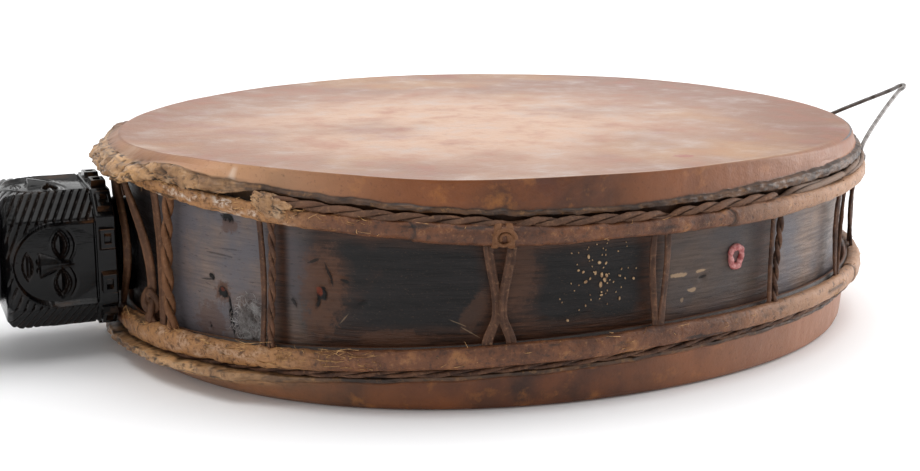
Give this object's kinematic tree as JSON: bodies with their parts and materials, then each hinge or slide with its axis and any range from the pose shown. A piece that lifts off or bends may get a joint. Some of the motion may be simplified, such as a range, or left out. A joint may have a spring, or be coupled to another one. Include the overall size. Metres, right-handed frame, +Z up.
{
  "type": "frame drum",
  "caption": "Double-headed ritual frame drum lying flat, laced skins on a dark wooden hoop, with a carved handle of calm faces and a hanging wire.",
  "frame": {"origin": "on the drum's axis, at the underside of its lower skin, on which it lies", "axes": "+Z up through both skins, -X out along the carved handle, +X towards the hanging wire's side"},
  "size_m": [0.6882, 0.3562, 0.1054],
  "materials": {
    "smoked_wood": "smoke-blackened bent wood, brown where it is worn, with a dull waxy sheen",
    "goatskin": "old scraped goatskin, pale and mottled on the head, honey brown on the skirts",
    "cane": "worn cane hoop, brown with golden wear and pale flakes",
    "rawhide": "dry twisted rawhide, dull brown",
    "black_hardwood": "carved hardwood, stained black and polished by the hand",
    "steel_wire": "dull steel wire"
  },
  "bodies": {
    "root": {"shell": "smoked_wood", "head_upper": "goatskin", "head_lower": "goatskin", "ring_upper": "cane", "ring_lower": "cane", "cord_upper": "rawhide", "cord_lower": "rawhide", "handle": "black_hardwood", "wire_loop": "steel_wire", "lace_01": "rawhide", "lace_02": "rawhide", "lace_03": "rawhide", "lace_04": "rawhide", "lace_05": "rawhide", "lace_06": "rawhide", "lace_07": "rawhide", "lace_08": "rawhide", "lace_09": "rawhide", "lace_10": "rawhide", "lace_11": "rawhide", "lace_12": "rawhide", "lace_13": "rawhide", "lace_14": "rawhide", "lace_15": "rawhide", "lace_16": "rawhide", "lashing_front_1": "rawhide", "lashing_back_1": "rawhide", "lashing_front_2": "rawhide", "lashing_back_2": "rawhide", "lashing_front_3": "rawhide", "lashing_back_3": "rawhide"}
  },
  "joints": []
}
